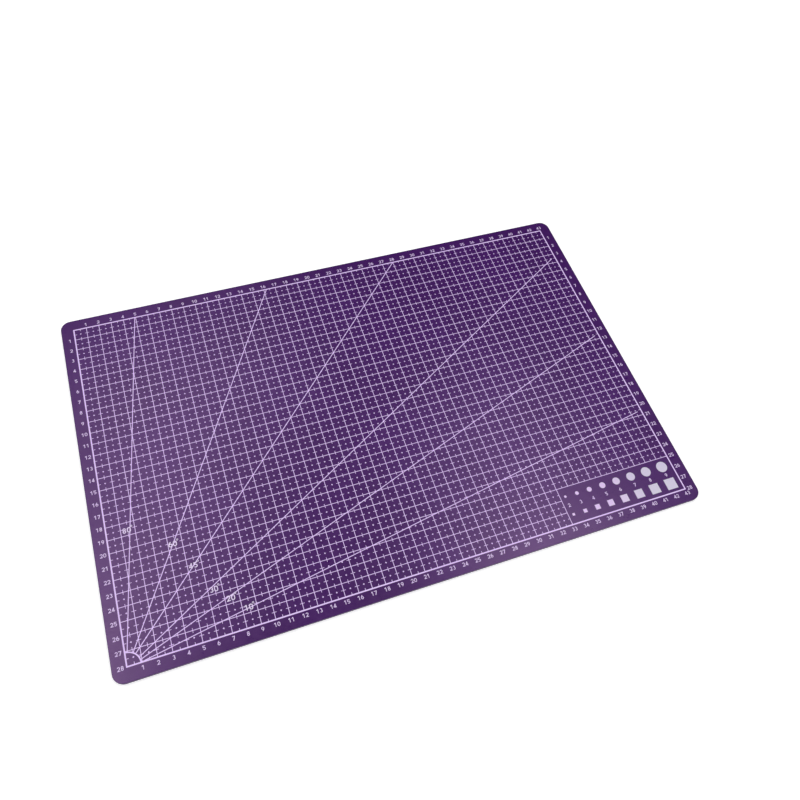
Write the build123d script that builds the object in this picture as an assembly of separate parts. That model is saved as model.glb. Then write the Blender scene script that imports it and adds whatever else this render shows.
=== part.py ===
from build123d import *
import os
from math import cos, radians, sin, tan

# All sizes are in millimetres. The mat lies on z = 0 with its long side along X.

# Sheet
LENGTH = 450.0
WIDTH = 300.0
CORNER_RADIUS = 8.0
EDGE_EASING = 0.3
# Name and thickness of each ply, from the table upwards. They add up to 3 mm.
PLIES = [
    ("bottom_healing_ply", 0.85),
    ("lower_reinforcing_ply", 0.25),
    ("core_ply", 0.8),
    ("upper_reinforcing_ply", 0.25),
    ("top_healing_ply", 0.85),
]
TOP = sum(thickness for _, thickness in PLIES)

# Print
INK = 0.02
PITCH = 10.0
COLUMNS = 43
ROWS = 28
BORDER_LINE = 1.0
GRID_LINE = 0.45
ANGLE_LINE = 0.6
ARC_RADIUS = 9.3
ARC_LINE = 0.9
# Each angle, and how far below the border's corner its line would meet the border's left side.
ANGLES = [(80, 0.0), (60, 1.2), (45, 0.0), (30, 1.2), (20, 1.4), (10, 1.5)]
SHALLOW_GAP = 3.5
# Grid cells kept free of lines at the lower right, where the size gauges are printed.
GAUGE_COLUMNS = 10
GAUGE_ROWS = 3
GAUGE_SIZES = range(2, 10)
GAUGE_FIRST_X = 334.4
GAUGE_STEP = 10.1
GAUGE_STEP_GROWTH = 0.76
CIRCLE_Y = 22.6
NUMERAL_Y = 15.2
SQUARE_Y = 7.4

# Numerals. The first three are shares of a digit's height.
STROKE = 0.165
DIGIT_WIDTH = 0.66
ADVANCE = 0.79
EDGE_NUMERAL = 3.0
GAUGE_NUMERAL = 2.9
ANGLE_NUMERAL = 4.1
NUMERAL_MARGIN_X = 4.1
NUMERAL_MARGIN_Y = 3.5
# Each angle with the middle of its number, on the print.
ANGLE_NUMERAL_PLACES = [
    (80, 14.2, 94.0),
    (60, 43.3, 74.2),
    (45, 54.1, 54.4),
    (30, 64.2, 33.4),
    (20, 74.0, 23.9),
    (10, 84.3, 13.8),
]
# The degree ring stands up and to the right of its number's middle.
DEGREE_OFFSET = (3.6, 2.4)
DEGREE_RADIUS = 0.55
DEGREE_LINE = 0.35

FRAME_X = COLUMNS * PITCH
FRAME_Y = ROWS * PITCH


def on_print(x, y, z=TOP):
    """A place on the print, measured from the border's lower left corner."""
    return Pos(x - FRAME_X / 2, y - FRAME_Y / 2, z)


def ply(name, base, thickness):
    """One full-size sheet. The two outer plies have their exposed edge eased."""
    sheet = Pos(0, 0, base) * extrude(RectangleRounded(LENGTH, WIDTH, CORNER_RADIUS), thickness)
    if name.startswith("top"):
        return fillet(sheet.faces().sort_by(Axis.Z)[-1].edges(), EDGE_EASING)
    if name.startswith("bottom"):
        return fillet(sheet.faces().sort_by(Axis.Z)[0].edges(), EDGE_EASING)
    return sheet


def stroke(start, end, width=STROKE):
    """A straight stroke between two points."""
    run = Vector(end) - Vector(start)
    middle = (Vector(start) + Vector(end)) / 2
    angle = Vector(1, 0).get_signed_angle(run, Vector(0, 0, 1))
    return Pos(middle.X, middle.Y) * Rot(0, 0, angle) * Rectangle(run.length, width)


def bow(centre, radius, start, sweep):
    """A curved stroke: part of a ring, from one angle and through another."""
    outer = CenterArc(centre, radius + STROKE / 2, start, sweep)
    inner = CenterArc(centre, radius - STROKE / 2, start, sweep)
    ends = [Line(outer @ 0, inner @ 0), Line(outer @ 1, inner @ 1)]
    return make_face(Curve() + [outer, inner] + ends)


def ring(centre, radius, width=STROKE):
    """A closed round stroke."""
    return Pos(*centre) * (Circle(radius + width / 2) - Circle(radius - width / 2))


def digit(number):
    """The outline of one digit, one unit tall and centred on the origin."""
    side = DIGIT_WIDTH / 2
    half = side - STROKE / 2
    low, high = -0.5 + STROKE / 2, 0.5 - STROKE / 2
    waist = 0.02
    upper, lower = (high - waist) / 2, (waist - low) / 2
    bowl = (0, low + half)
    if number == 0:
        return SlotOverall(1, DIGIT_WIDTH, 90) - SlotOverall(1 - 2 * STROKE, DIGIT_WIDTH - 2 * STROKE, 90)
    if number == 1:
        flag = Polyline((0.1, 0.5), (-0.04, 0.5), (-0.27, 0.35), (-0.27, 0.15), (0, 0.3), close=True)
        return Pos(0.05, 0) * Rectangle(STROKE, 1) + make_face(flag)
    if number == 2:
        turn = radians(-43.5)
        foot = stroke((half * cos(turn), high - half + half * sin(turn)), (-0.22, low))
        return bow((0, high - half), half, 165, -208.5) + foot + Pos(0, low) * Rectangle(DIGIT_WIDTH, STROKE)
    if number == 3:
        return bow((0, high - upper), upper, 155, -245) + bow((0, low + lower), lower, 90, -245)
    if number == 4:
        slope = stroke((-side + 0.08, -0.18), (0.12, 0.43))
        bar = Pos(0, -0.22) * Rectangle(DIGIT_WIDTH + 0.04, STROKE)
        return Pos(0.12, 0) * Rectangle(STROKE, 1) + bar + slope
    if number == 5:
        back = stroke((-0.22, high), (-0.24, 0))
        return Pos(-0.01, high) * Rectangle(0.6, STROKE) + back + bow(bowl, half, 128, -280)
    if number == 6:
        return ring(bowl, half) + bow((0.72 - half, bowl[1]), 0.72, 180, -58)
    if number == 7:
        arm = 0.5 - STROKE
        top = [(-side, arm), (-side, 0.5), (side, 0.5), (side, arm)]
        leg = [(0, -0.5), (-0.2, -0.5), (0.12, arm)]
        return make_face(Polyline(*top, *leg, close=True))
    if number == 8:
        return ring((0, high - upper), upper) + ring((0, low + lower), lower)
    return Rot(0, 0, 180) * digit(6)


def digits(height):
    """Printed solids of all ten digits at one height."""
    return [extrude(scale(digit(number), height), INK) for number in range(10)]


def numeral(value, x, y, height, solids):
    """A number centred on a point of the print, as separate digits."""
    text = str(value)
    first = -(len(text) - 1) / 2
    return [
        on_print(x + (first + place) * ADVANCE * height, y) * solids[int(character)]
        for place, character in enumerate(text)
    ]


def border():
    """The printed line round the whole grid."""
    outer = Rectangle(FRAME_X + BORDER_LINE, FRAME_Y + BORDER_LINE)
    inner = Rectangle(FRAME_X - BORDER_LINE, FRAME_Y - BORDER_LINE)
    return extrude(on_print(FRAME_X / 2, FRAME_Y / 2) * (outer - inner), INK)


def grid_face():
    """All the centimetre lines inside the border as one flat lattice."""
    inset = BORDER_LINE / 2
    gauge_x = (COLUMNS - GAUGE_COLUMNS) * PITCH
    gauge_y = GAUGE_ROWS * PITCH
    uprights = []
    for column in range(1, COLUMNS):
        x = column * PITCH
        foot = gauge_y if x > gauge_x else inset
        head = FRAME_Y - inset
        uprights.append(Pos(x, (foot + head) / 2) * Rectangle(GRID_LINE, head - foot))
    levels = []
    for row in range(1, ROWS):
        y = row * PITCH
        end = gauge_x if y < gauge_y else FRAME_X - inset
        levels.append(Pos((inset + end) / 2, y) * Rectangle(end - inset, GRID_LINE))
    return Sketch() + uprights + levels


def angle_numerals(solids):
    """The angles' numbers with their degree rings."""
    pieces = []
    degree = extrude(ring((0, 0), DEGREE_RADIUS, DEGREE_LINE), INK)
    for value, x, y in ANGLE_NUMERAL_PLACES:
        pieces += numeral(value, x, y, ANGLE_NUMERAL, solids)
        pieces.append(on_print(x + DEGREE_OFFSET[0], y + DEGREE_OFFSET[1]) * degree)
    return pieces


def angle_lines(grid, numbers):
    """The protractor's lines, broken where they meet other print."""
    clear = ARC_RADIUS + ARC_LINE / 2
    field = Pos(FRAME_X / 2, FRAME_Y / 2) * Rectangle(FRAME_X - BORDER_LINE, FRAME_Y - BORDER_LINE)
    lines = []
    for angle, drop in ANGLES:
        rise = tan(radians(angle))
        end_x = min(FRAME_X - SHALLOW_GAP, (FRAME_Y + drop + PITCH) / rise)
        lines.append(stroke((0, -drop), (end_x, end_x * rise - drop), ANGLE_LINE))
    marks = Sketch() + lines
    return (marks & field) - Circle(clear) - grid - numbers


def corner_arc():
    """The protractor's arc round the border's corner."""
    reach = 2 * ARC_RADIUS
    inset = BORDER_LINE / 2
    quarter = Pos(inset + reach / 2, inset + reach / 2) * Rectangle(reach, reach)
    band = ring((0, 0), ARC_RADIUS, ARC_LINE) & quarter
    return extrude(on_print(0, 0) * band, INK)


def gauge_x(size):
    """Where the gauge of one size stands. Each step is a little wider than the one before."""
    count = size - GAUGE_SIZES[0]
    return GAUGE_FIRST_X + count * GAUGE_STEP + GAUGE_STEP_GROWTH * count * (count - 1) / 2


def circle_gauges():
    """Solid discs from 2 to 9 mm across."""
    return [extrude(on_print(gauge_x(size), CIRCLE_Y) * Circle(size / 2), INK) for size in GAUGE_SIZES]


def square_gauges():
    """Solid squares with sides from 2 to 9 mm."""
    return [extrude(on_print(gauge_x(size), SQUARE_Y) * Rectangle(size, size), INK) for size in GAUGE_SIZES]


def gauge_numerals(solids):
    """The size printed between each disc and its square."""
    pieces = []
    for size in GAUGE_SIZES:
        pieces += numeral(size, gauge_x(size), NUMERAL_Y, GAUGE_NUMERAL, solids)
    return pieces


def long_edge_numerals(y, solids):
    """Centimetre numbers along one long edge."""
    pieces = []
    for column in range(1, COLUMNS + 1):
        pieces += numeral(column, column * PITCH, y, EDGE_NUMERAL, solids)
    return pieces


def short_edge_numerals(x, solids):
    """Centimetre numbers down one short edge."""
    pieces = []
    for row in range(1, ROWS + 1):
        pieces += numeral(row, x, FRAME_Y - row * PITCH, EDGE_NUMERAL, solids)
    return pieces


def plies():
    """The five plies, stacked from the table upwards."""
    sheets = {}
    base = 0.0
    for name, thickness in PLIES:
        sheets[name] = ply(name, base, thickness)
        base += thickness
    return sheets


def printed():
    """Every part of the print, as ink standing on the top ply."""
    grid = grid_face()
    small = digits(EDGE_NUMERAL)
    tiny = digits(GAUGE_NUMERAL)
    large = digits(ANGLE_NUMERAL)
    numbers = angle_numerals(large)
    to_print = on_print(0, 0).inverse()
    footprints = Sketch() + [to_print * piece.faces().sort_by(Axis.Z)[0] for piece in numbers]
    return {
        "print_border": border(),
        "print_grid_lines": extrude(on_print(0, 0) * grid, INK),
        "print_angle_lines": extrude(on_print(0, 0) * angle_lines(grid, footprints), INK),
        "print_angle_arc": corner_arc(),
        "print_angle_numerals": numbers,
        "print_circle_gauges": circle_gauges(),
        "print_square_gauges": square_gauges(),
        "print_gauge_numerals": gauge_numerals(tiny),
        "print_front_numerals": long_edge_numerals(-NUMERAL_MARGIN_Y, small),
        "print_back_numerals": long_edge_numerals(FRAME_Y + NUMERAL_MARGIN_Y, small),
        "print_left_numerals": short_edge_numerals(-NUMERAL_MARGIN_X, small),
        "print_right_numerals": short_edge_numerals(FRAME_X + NUMERAL_MARGIN_X, small),
    }


def flat_list(pieces):
    """The solids in one shape or in a list of shapes."""
    shapes = pieces if isinstance(pieces, list) else [pieces]
    return [solid for shape in shapes for solid in shape.solids()]


os.makedirs("parts", exist_ok=True)
for name, pieces in {**plies(), **printed()}.items():
    export_step(Compound(flat_list(pieces)), f"parts/{name}.step", write_pcurves=False)
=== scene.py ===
import math

import bmesh
import bpy
from mathutils import Euler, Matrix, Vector


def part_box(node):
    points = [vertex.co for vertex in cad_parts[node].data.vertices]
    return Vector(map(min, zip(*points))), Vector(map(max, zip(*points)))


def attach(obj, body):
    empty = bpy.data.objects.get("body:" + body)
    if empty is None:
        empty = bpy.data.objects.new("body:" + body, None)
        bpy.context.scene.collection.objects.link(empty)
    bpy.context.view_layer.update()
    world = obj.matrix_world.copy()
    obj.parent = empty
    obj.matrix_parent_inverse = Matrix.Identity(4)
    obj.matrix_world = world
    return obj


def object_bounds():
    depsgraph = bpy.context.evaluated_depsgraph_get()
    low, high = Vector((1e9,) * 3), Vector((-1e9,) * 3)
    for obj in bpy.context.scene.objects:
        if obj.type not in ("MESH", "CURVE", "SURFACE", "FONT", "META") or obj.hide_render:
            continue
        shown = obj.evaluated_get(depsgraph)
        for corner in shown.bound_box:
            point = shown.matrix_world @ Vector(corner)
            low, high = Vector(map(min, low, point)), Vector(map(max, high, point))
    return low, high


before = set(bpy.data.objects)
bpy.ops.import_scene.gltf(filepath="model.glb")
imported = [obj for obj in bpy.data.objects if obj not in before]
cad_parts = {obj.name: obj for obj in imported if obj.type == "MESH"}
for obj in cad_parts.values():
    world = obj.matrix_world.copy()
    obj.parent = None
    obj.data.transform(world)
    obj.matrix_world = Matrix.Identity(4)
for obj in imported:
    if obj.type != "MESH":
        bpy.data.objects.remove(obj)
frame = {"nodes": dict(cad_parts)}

cad_low, cad_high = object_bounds()

# Sizes are in metres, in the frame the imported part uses. MM turns millimetres into them.
MM = 0.001

# The camera. Its place is in millimetres and its angles are in degrees.
CAMERA_PIXELS = 800
CAMERA_FOCAL_PIXELS = 732.2
CAMERA_SENSOR = 36
CAMERA_PLACE = (-112.1, -268.1, 520.7)
CAMERA_ANGLES = (29.877, -4.556, -18.995)
CAMERA_CLIP = (0.01, 20)

# The print's layout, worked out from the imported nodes.
mat_low, mat_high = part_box("top_healing_ply")
border_low, border_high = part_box("print_border")
COLUMNS = 43
ROWS = 28
border_size = border_high - border_low
PITCH = (border_size.x - border_size.y) / (COLUMNS - ROWS)
BORDER_LINE = border_size.x - COLUMNS * PITCH
PRINT_X = border_low.x + BORDER_LINE / 2
PRINT_Y = border_low.y + BORDER_LINE / 2
SKIN_TOP = mat_high.z
INK_TOP = border_high.z
# The size gauges fill this many columns and rows at the lower right.
GAUGE_COLUMNS = 10
GAUGE_ROW = 3
GAUGE_COLUMN = COLUMNS - GAUGE_COLUMNS
MAT_SIZE = mat_high - mat_low
CORNER_RADIUS = 8 * MM

# Print that only the scene adds.
TICK_REACH = 1.7 * MM
TICK_LINE = 0.36 * MM
TICK_CHAMFER = 0.6 * TICK_LINE / 2
BORDER_TICK_REACH = 2.0 * MM
MARK_REACH = 0.76 * MM
MARK_WAIST = 0.29 * MM
# Ticks and marks stand a little lower than the lines they cross.
MARK_TOP = SKIN_TOP + 0.9 * (INK_TOP - SKIN_TOP)

# Light. Matt surfaces see a plain bright room. Glossy ones see a dim ceiling that brightens
# towards the horizon, with reflector cards overhead that only show as soft highlights.
ROOM_LIGHT = 0.95
REFLECTED_CEILING = 0.03
REFLECTED_HORIZON = 0.5
HORIZON_RISE = (0.55, 0.15)
FLOOR_GLOW = 0.35
FLOOR_REACH = 6.0
FLOOR_DEPTH = 0.02
FLOOR_GAP = 0.1 * MM
# Plasticised skin throws back light with a purple cast.
REFLECTION_TINT = (0.9, 0.6, 1.0, 1.0)
CARD_HEIGHT = 1.1
CARD_SIZE = 0.3
# Every card has the same nearly white colour, so the mat looks alike from every side.
CARD_COLOUR = (0.94, 1.0, 0.87)
# Each card's place and power in watts.
CARDS = [
    ("near_right_card", 0.50, -0.15, 4.7),
    ("right_card", 0.50, 0.12, 0.95),
    ("back_right_card", 0.50, 0.40, 1.0),
    ("back_card", -0.05, 0.75, 0.9),
    ("back_left_card", -0.35, 0.75, 1.2),
    ("left_card", -0.35, 0.40, 1.45),
    ("near_left_card", -0.65, 0.12, 4.45),
]

# Node helpers


class Tree:
    """A material's node tree, with short calls to add and join nodes."""

    def __init__(self, name):
        self.material = bpy.data.materials.new(name)
        self.material.use_nodes = True
        self.nodes = self.material.node_tree.nodes
        self.links = self.material.node_tree.links
        self.nodes.clear()

    def maths(self, operation, *values, clamp=False):
        """The result of one maths step on sockets or numbers."""
        node = self.nodes.new("ShaderNodeMath")
        node.operation = operation
        node.use_clamp = clamp
        for place, value in enumerate(values):
            if isinstance(value, bpy.types.NodeSocket):
                self.links.new(value, node.inputs[place])
            else:
                node.inputs[place].default_value = value
        return node.outputs[0]

    def mix(self, share, first, second, blend="MIX"):
        """A mix of two colours by a share."""
        node = self.nodes.new("ShaderNodeMix")
        node.data_type = "RGBA"
        node.blend_type = blend
        for place, value in ((0, share), (6, first), (7, second)):
            if isinstance(value, bpy.types.NodeSocket):
                self.links.new(value, node.inputs[place])
            else:
                node.inputs[place].default_value = value
        return node.outputs[2]

    def fit(self, value, low, high, out_low=0.0, out_high=1.0, smooth=False):
        """A value's range moved to another range, and held inside it."""
        node = self.nodes.new("ShaderNodeMapRange")
        node.interpolation_type = "SMOOTHSTEP" if smooth else "LINEAR"
        for place, number in enumerate((value, low, high, out_low, out_high)):
            if isinstance(number, bpy.types.NodeSocket):
                self.links.new(number, node.inputs[place])
            else:
                node.inputs[place].default_value = number
        return node.outputs[0]

    def place(self, stretch=(1, 1, 1), turn=0.0, shift=(0, 0, 0)):
        """The surface point in millimetres, after a stretch, turn and shift."""
        coordinates = self.nodes.new("ShaderNodeTexCoord")
        mapping = self.nodes.new("ShaderNodeMapping")
        self.links.new(coordinates.outputs["Object"], mapping.inputs["Vector"])
        mapping.inputs["Scale"].default_value = [s / MM for s in stretch]
        mapping.inputs["Rotation"].default_value = (0, 0, turn)
        mapping.inputs["Location"].default_value = shift
        return mapping.outputs[0]

    def noise(self, vector, size, detail=2.0, roughness=0.5, distortion=0.0):
        """Soft noise whose features are about one size across, in millimetres."""
        node = self.nodes.new("ShaderNodeTexNoise")
        self.links.new(vector, node.inputs["Vector"])
        node.inputs["Scale"].default_value = 1 / size
        node.inputs["Detail"].default_value = detail
        node.inputs["Roughness"].default_value = roughness
        node.inputs["Distortion"].default_value = distortion
        return node.outputs["Fac"]

    def cells(self, vector, size, feature="F1"):
        """Distances in a cell pattern whose cells are about one size across."""
        node = self.nodes.new("ShaderNodeTexVoronoi")
        node.feature = feature
        self.links.new(vector, node.inputs["Vector"])
        node.inputs["Scale"].default_value = 1 / size
        return node.outputs["Distance"]

    def bump(self, height, distance, strength=1.0, below=None):
        """A normal raised by a height pattern, with a depth in millimetres."""
        node = self.nodes.new("ShaderNodeBump")
        node.inputs["Strength"].default_value = strength
        node.inputs["Distance"].default_value = distance * MM
        self.links.new(height, node.inputs["Height"])
        if below is not None:
            self.links.new(below, node.inputs["Normal"])
        return node.outputs[0]

    def finish(self, colour, roughness, normal, specular=0.5, tint=(1, 1, 1, 1)):
        """The surface shader, fed with these and joined to the output."""
        shader = self.nodes.new("ShaderNodeBsdfPrincipled")
        output = self.nodes.new("ShaderNodeOutputMaterial")
        self.links.new(colour, shader.inputs["Base Color"])
        self.links.new(roughness, shader.inputs["Roughness"])
        self.links.new(normal, shader.inputs["Normal"])
        shader.inputs["Specular IOR Level"].default_value = specular
        shader.inputs["Specular Tint"].default_value = tint
        self.links.new(shader.outputs[0], output.inputs["Surface"])
        return shader


def linear(red, green, blue):
    """A colour given as 0 to 255 screen values, as linear light."""
    channels = []
    for value in (red, green, blue):
        share = value / 255
        channels.append(share / 12.92 if share <= 0.04045 else ((share + 0.055) / 1.055) ** 2.4)
    return (*channels, 1.0)


# Materials


def edge_distance(tree):
    """How far inside the mat's outline a surface point lies, in millimetres."""
    coordinates = tree.nodes.new("ShaderNodeTexCoord")
    split = tree.nodes.new("ShaderNodeSeparateXYZ")
    tree.links.new(coordinates.outputs["Object"], split.inputs[0])
    reach = []
    for axis, half in ((0, MAT_SIZE.x / 2), (1, MAT_SIZE.y / 2)):
        beyond = tree.maths("SUBTRACT", tree.maths("ABSOLUTE", split.outputs[axis]), half - CORNER_RADIUS)
        reach.append(beyond)
    corner = [tree.maths("MAXIMUM", value, 0.0) for value in reach]
    squares = [tree.maths("MULTIPLY", value, value) for value in corner]
    outside = tree.maths("SQRT", tree.maths("ADD", *squares))
    inside = tree.maths("MINIMUM", tree.maths("MAXIMUM", *reach), 0.0)
    distance = tree.maths("SUBTRACT", CORNER_RADIUS, tree.maths("ADD", outside, inside))
    return tree.maths("DIVIDE", distance, MM)


def healing_skin(name, face, deep, pale):
    """Soft matt PVC: fine calendered grain, cloudy pigment, faint scuffs and closed knife marks, with
    painted shade along the outline.
    """
    tree = Tree(name)
    place = tree.place()
    clouds = tree.noise(place, 70, detail=3, roughness=0.55)
    mottle = tree.noise(tree.place(shift=(31, 7, 3)), 6, detail=4, roughness=0.6)
    grain = tree.noise(place, 0.55, detail=3, roughness=0.65)
    pebble = tree.cells(tree.place(shift=(5, 5, 5)), 0.75)
    scuffs = tree.noise(tree.place(stretch=(0.12, 1, 1), turn=0.5), 2.2, detail=4, roughness=0.6)
    cuts = tree.cells(tree.place(stretch=(0.25, 1, 1), turn=-0.35), 60, "DISTANCE_TO_EDGE")
    cut_line = tree.fit(cuts, 0.0, 0.0016, 1.0, 0.0)
    cut_patch = tree.fit(tree.noise(tree.place(shift=(90, 40, 0)), 45, detail=1), 0.56, 0.66, smooth=True)
    cut = tree.maths("MULTIPLY", cut_line, cut_patch)
    scuff = tree.fit(scuffs, 0.62, 0.78, smooth=True)

    colour = tree.mix(tree.fit(clouds, 0.35, 0.65, smooth=True), deep, face)
    colour = tree.mix(tree.fit(mottle, 0.45, 0.75, 0.0, 0.35), colour, pale)
    colour = tree.mix(tree.fit(grain, 0.42, 0.68, 0.0, 0.3), colour, pale)
    colour = tree.mix(tree.fit(pebble, 0.35, 0.6, 0.0, 0.25), colour, deep)
    colour = tree.mix(tree.maths("MULTIPLY", scuff, 0.16), colour, pale)
    colour = tree.mix(tree.maths("MULTIPLY", cut, 0.22), colour, pale)
    # Painted shade: the skin turns towards deep purple within 0.9 mm of the outline and over its cut side,
    # where the edge would fall into shade.
    outline_painted_shade = tree.fit(edge_distance(tree), 0.0, 0.9, 0.6, 0.0, smooth=True)
    colour = tree.mix(outline_painted_shade, colour, deep)

    roughness = tree.fit(mottle, 0.3, 0.7, 0.28, 0.34)
    roughness = tree.maths("ADD", roughness, tree.fit(grain, 0.3, 0.7, -0.03, 0.03))
    roughness = tree.maths("SUBTRACT", roughness, tree.maths("MULTIPLY", scuff, 0.05), clamp=True)

    swell = tree.bump(clouds, 0.9, 0.25)
    normal = tree.bump(pebble, 0.035, 0.8, swell)
    normal = tree.bump(grain, 0.03, 0.9, normal)
    normal = tree.bump(tree.maths("MULTIPLY", cut, -1.0), 0.03, 0.8, normal)
    tree.finish(colour, roughness, normal, tint=REFLECTION_TINT)
    return tree.material


def cut_ply(name, face, deep, layer_size):
    """The sawn and die cut edge of an inner ply, with upright cutting marks."""
    tree = Tree(name)
    marks = tree.noise(tree.place(stretch=(1, 1, 0.06)), 0.5, detail=3, roughness=0.6)
    layers = tree.noise(tree.place(stretch=(0.02, 0.02, 1)), layer_size, detail=2)
    specks = tree.noise(tree.place(shift=(3, 9, 1)), 0.9, detail=3)
    colour = tree.mix(tree.fit(marks, 0.35, 0.7), deep, face)
    colour = tree.mix(tree.fit(layers, 0.4, 0.6, 0.0, 0.35), colour, deep)
    colour = tree.mix(tree.fit(specks, 0.6, 0.75, 0.0, 0.3), colour, face)
    roughness = tree.fit(marks, 0.3, 0.7, 0.55, 0.75)
    normal = tree.bump(marks, 0.05, 0.7)
    normal = tree.bump(layers, 0.03, 0.6, normal)
    tree.finish(colour, roughness, normal, specular=0.35)
    return tree.material


def screen_ink(name, near, far, thin, cover):
    """Screen ink: a thin film on the skin's grain, with pinholes and uneven cover.

    The colour runs from one to another along the strip of size gauges.
    """
    tree = Tree(name)
    place = tree.place()
    split = tree.nodes.new("ShaderNodeSeparateXYZ")
    tree.links.new(place, split.inputs[0])
    gauge_start = (PRINT_X + GAUGE_COLUMN * PITCH) / MM
    strip = GAUGE_COLUMNS * PITCH / MM
    run = tree.fit(split.outputs[0], gauge_start + 0.3 * strip, gauge_start + 0.7 * strip, smooth=True)
    face = tree.mix(run, near, far)
    grain = tree.noise(place, 0.55, detail=3, roughness=0.65)
    pinholes = tree.cells(tree.place(shift=(2, 8, 4)), 0.3)
    streaks = tree.noise(tree.place(stretch=(1, 0.2, 1), turn=0.2), 1.4, detail=4, roughness=0.6)
    clouds = tree.noise(tree.place(shift=(11, 17, 0)), 28, detail=2)
    colour = tree.mix(tree.fit(clouds, 0.3, 0.7, 0.0, 0.25), face, thin)
    colour = tree.mix(tree.fit(grain, 0.55, 0.8, 0.0, 1 - cover), colour, thin)
    colour = tree.mix(tree.fit(pinholes, 0.62, 0.8, 0.0, 0.5), colour, thin)
    colour = tree.mix(tree.fit(streaks, 0.6, 0.8, 0.0, 0.3), colour, thin)
    roughness = tree.fit(streaks, 0.3, 0.7, 0.42, 0.58)
    normal = tree.bump(grain, 0.02, 0.8)
    normal = tree.bump(pinholes, 0.01, 0.5, normal)
    tree.finish(colour, roughness, normal, specular=0.45)
    return tree.material


def floor_material():
    """Plain pale studio floor, with a faint glow that keeps it as bright as a backlit table."""
    tree = Tree("studio_floor")
    soft = tree.noise(tree.place(), 300, detail=1)
    colour = tree.mix(soft, (0.90, 0.90, 0.90, 1), (0.93, 0.93, 0.93, 1))
    shader = tree.finish(colour, tree.fit(soft, 0, 1, 0.85, 0.9), tree.bump(soft, 0.01, 0.1), specular=0.1)
    shader.inputs["Emission Color"].default_value = (1, 1, 1, 1)
    shader.inputs["Emission Strength"].default_value = FLOOR_GLOW
    return tree.material


def give(objects, material):
    """Puts one material on every slot of some objects."""
    for thing in objects:
        if not thing.material_slots:
            thing.data.materials.append(material)
        for place in thing.material_slots:
            place.material = material


# Print that is too fine for the CAD part


def mesh_piece(name, build):
    """A mesh object made by a function that fills a bmesh."""
    mesh = bpy.data.meshes.new(name)
    work = bmesh.new()
    build(work)
    bmesh.ops.recalc_face_normals(work, faces=work.faces)
    work.to_mesh(mesh)
    work.free()
    thing = bpy.data.objects.new(name, mesh)
    bpy.context.scene.collection.objects.link(thing)
    return thing


def prism(work, outline, low, high):
    """A flat outline raised into a closed solid."""
    below = [work.verts.new((x, y, low)) for x, y in outline]
    above = [work.verts.new((x, y, high)) for x, y in outline]
    count = len(outline)
    work.faces.new(above)
    work.faces.new(list(reversed(below)))
    for place in range(count):
        after = (place + 1) % count
        work.faces.new([below[place], below[after], above[after], above[place]])


def print_point(column, row):
    """A point of the print, counted in grid squares from the lower left corner."""
    return PRINT_X + column * PITCH, PRINT_Y + row * PITCH


def in_gauge_area(column, row):
    """True inside the part of the grid that is left blank for the size gauges."""
    return column > GAUGE_COLUMN and row < GAUGE_ROW


def tick(work, x, y, along_x, back, ahead):
    """One short tick, its ends rounded by two small chamfers each."""
    half = TICK_LINE / 2
    side = half - TICK_CHAMFER
    outline = [
        (-back, -side),
        (-back + TICK_CHAMFER, -half),
        (ahead - TICK_CHAMFER, -half),
        (ahead, -side),
        (ahead, side),
        (ahead - TICK_CHAMFER, half),
        (-back + TICK_CHAMFER, half),
        (-back, side),
    ]
    if along_x:
        points = [(x + along, y + across) for along, across in outline]
    else:
        points = [(x - across, y + along) for along, across in outline]
    prism(work, points, SKIN_TOP, MARK_TOP)


def ticks_on_uprights(work):
    """Half centimetre ticks across every upright line, and inward from the border's sides."""
    for column in range(COLUMNS + 1):
        for row in range(ROWS):
            middle = row + 0.5
            if in_gauge_area(column, middle):
                continue
            x, y = print_point(column, middle)
            back, ahead = TICK_REACH, TICK_REACH
            if column == 0:
                back, ahead = 0.0, BORDER_TICK_REACH
            elif column == COLUMNS:
                back, ahead = BORDER_TICK_REACH, 0.0
            elif column == GAUGE_COLUMN and middle < GAUGE_ROW:
                ahead = 0.0
            tick(work, x, y, True, back, ahead)


def ticks_on_levels(work):
    """Half centimetre ticks across every level line, and inward from the border's front and back."""
    for row in range(ROWS + 1):
        for column in range(COLUMNS):
            middle = column + 0.5
            if in_gauge_area(middle, row):
                continue
            x, y = print_point(middle, row)
            back, ahead = TICK_REACH, TICK_REACH
            if row == 0:
                back, ahead = 0.0, BORDER_TICK_REACH
            elif row == ROWS:
                back, ahead = BORDER_TICK_REACH, 0.0
            elif row == GAUGE_ROW and middle > GAUGE_COLUMN:
                back = 0.0
            tick(work, x, y, False, back, ahead)


def centre_marks(work):
    """A small four pointed mark in the middle of every grid square."""
    for column in range(COLUMNS):
        for row in range(ROWS):
            if in_gauge_area(column + 0.5, row + 0.5):
                continue
            x, y = print_point(column + 0.5, row + 0.5)
            points = []
            for place in range(8):
                angle = place * math.pi / 4
                reach = MARK_REACH if place % 2 == 0 else MARK_WAIST * math.sqrt(2)
                points.append((x + reach * math.cos(angle), y + reach * math.sin(angle)))
            prism(work, points, SKIN_TOP, MARK_TOP)


# Stage


def floor():
    """A wide pale floor just under the mat."""
    corners = [(-1, -1), (1, -1), (1, 1), (-1, 1)]
    outline = [(x * FLOOR_REACH, y * FLOOR_REACH) for x, y in corners]
    top = cad_low.z - FLOOR_GAP
    thing = mesh_piece("studio_floor", lambda work: prism(work, outline, -FLOOR_DEPTH, top))
    give([thing], floor_material())


def reflector_card(name, x, y, power):
    """A soft square card overhead that only shows in reflections."""
    lamp = bpy.data.lights.new(name, "AREA")
    lamp.shape = "SQUARE"
    lamp.size = CARD_SIZE
    lamp.energy = power
    lamp.color = CARD_COLOUR
    thing = bpy.data.objects.new(name, lamp)
    thing.location = (x, y, CARD_HEIGHT)
    thing.visible_diffuse = False
    bpy.context.scene.collection.objects.link(thing)


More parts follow.
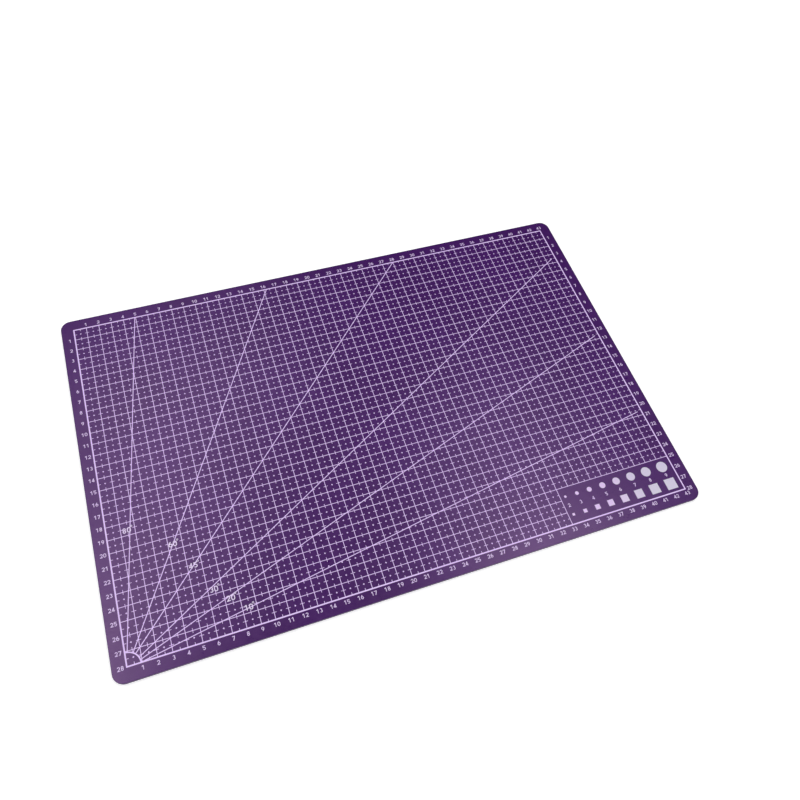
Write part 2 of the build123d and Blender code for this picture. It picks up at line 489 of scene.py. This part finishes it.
def lights():
    """The studio room, as seen by matt surfaces, by glossy ones and by the camera."""
    world = bpy.data.worlds.new("studio")
    world.use_nodes = True
    bpy.context.scene.world = world
    nodes = world.node_tree.nodes
    links = world.node_tree.links
    path = nodes.new("ShaderNodeLightPath")
    split = nodes.new("ShaderNodeSeparateXYZ")
    rise = nodes.new("ShaderNodeMapRange")
    links.new(nodes.new("ShaderNodeTexCoord").outputs["Generated"], split.inputs[0])
    links.new(split.outputs[2], rise.inputs[0])
    levels = (*HORIZON_RISE, REFLECTED_CEILING, REFLECTED_HORIZON)
    for place, level in enumerate(levels):
        rise.inputs[place + 1].default_value = level
    room = nodes["Background"]
    room.inputs["Color"].default_value = (1, 1, 1, 1)
    room.inputs["Strength"].default_value = ROOM_LIGHT
    reflected = nodes.new("ShaderNodeBackground")
    links.new(rise.outputs[0], reflected.inputs["Strength"])
    backdrop = nodes.new("ShaderNodeBackground")
    seen = room.outputs[0]
    for ray, other in (("Is Glossy Ray", reflected), ("Is Camera Ray", backdrop)):
        other.inputs["Color"].default_value = (1, 1, 1, 1)
        choice = nodes.new("ShaderNodeMixShader")
        links.new(path.outputs[ray], choice.inputs[0])
        links.new(seen, choice.inputs[1])
        links.new(other.outputs[0], choice.inputs[2])
        seen = choice.outputs[0]
    links.new(seen, nodes["World Output"].inputs["Surface"])
    for card in CARDS:
        reflector_card(*card)


def camera():
    """The camera, at the photograph's viewing angle."""
    lens = bpy.data.cameras.new("camera")
    lens.sensor_width = CAMERA_SENSOR
    lens.lens = CAMERA_FOCAL_PIXELS / CAMERA_PIXELS * CAMERA_SENSOR
    lens.clip_start, lens.clip_end = CAMERA_CLIP
    thing = bpy.data.objects.new("camera", lens)
    thing.location = Vector(CAMERA_PLACE) * MM
    thing.rotation_euler = Euler([math.radians(angle) for angle in CAMERA_ANGLES], "XYZ")
    bpy.context.scene.collection.objects.link(thing)
    bpy.context.scene.camera = thing


# The model

PURPLE = linear(60, 2, 95)
DEEP_PURPLE = linear(55, 0, 87)
PALE_PURPLE = linear(71, 11, 107)
LAVENDER = linear(230, 202, 254)
LAVENDER_THIN = linear(194, 155, 229)
NUMERAL_LAVENDER = linear(222, 200, 240)
NUMERAL_WHITE = linear(232, 218, 244)
GAUGE_LAVENDER = linear(228, 202, 242)
GAUGE_GREY = linear(209, 205, 221)
CORE = linear(62, 54, 72)
DEEP_CORE = linear(40, 34, 50)
REINFORCING = linear(74, 62, 88)
DEEP_REINFORCING = linear(48, 38, 62)

nodes = frame["nodes"]
give([nodes["top_healing_ply"]], healing_skin("purple_pvc_skin", PURPLE, DEEP_PURPLE, PALE_PURPLE))
give([nodes["bottom_healing_ply"]], healing_skin("purple_pvc_reverse", PURPLE, DEEP_PURPLE, PALE_PURPLE))
give([nodes["core_ply"]], cut_ply("cut_core", CORE, DEEP_CORE, 0.3))
reinforcing = cut_ply("cut_reinforcing", REINFORCING, DEEP_REINFORCING, 0.1)
give([nodes["upper_reinforcing_ply"], nodes["lower_reinforcing_ply"]], reinforcing)

line_ink = screen_ink("lavender_line_ink", LAVENDER, LAVENDER, LAVENDER_THIN, 0.7)
edge_ink = screen_ink("lavender_numeral_ink", NUMERAL_LAVENDER, NUMERAL_LAVENDER, LAVENDER_THIN, 0.8)
angle_ink = screen_ink("white_numeral_ink", NUMERAL_WHITE, NUMERAL_WHITE, LAVENDER_THIN, 0.9)
gauge_ink = screen_ink("gauge_ink_film", GAUGE_LAVENDER, GAUGE_GREY, LAVENDER_THIN, 0.9)
for name, thing in nodes.items():
    if name.endswith("_gauges"):
        give([thing], gauge_ink)
    elif name == "print_angle_numerals":
        give([thing], angle_ink)
    elif name.endswith("_numerals"):
        give([thing], edge_ink)
    elif name.startswith("print_"):
        give([thing], line_ink)

for name, build in (
    ("upright_line_ticks", ticks_on_uprights),
    ("level_line_ticks", ticks_on_levels),
    ("square_centre_marks", centre_marks),
):
    piece = mesh_piece(name, build)
    give([piece], line_ink)
    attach(piece, "root")

floor()
lights()
camera()
bpy.context.scene.view_settings.view_transform = "Standard"
bpy.context.scene.view_settings.look = "None"
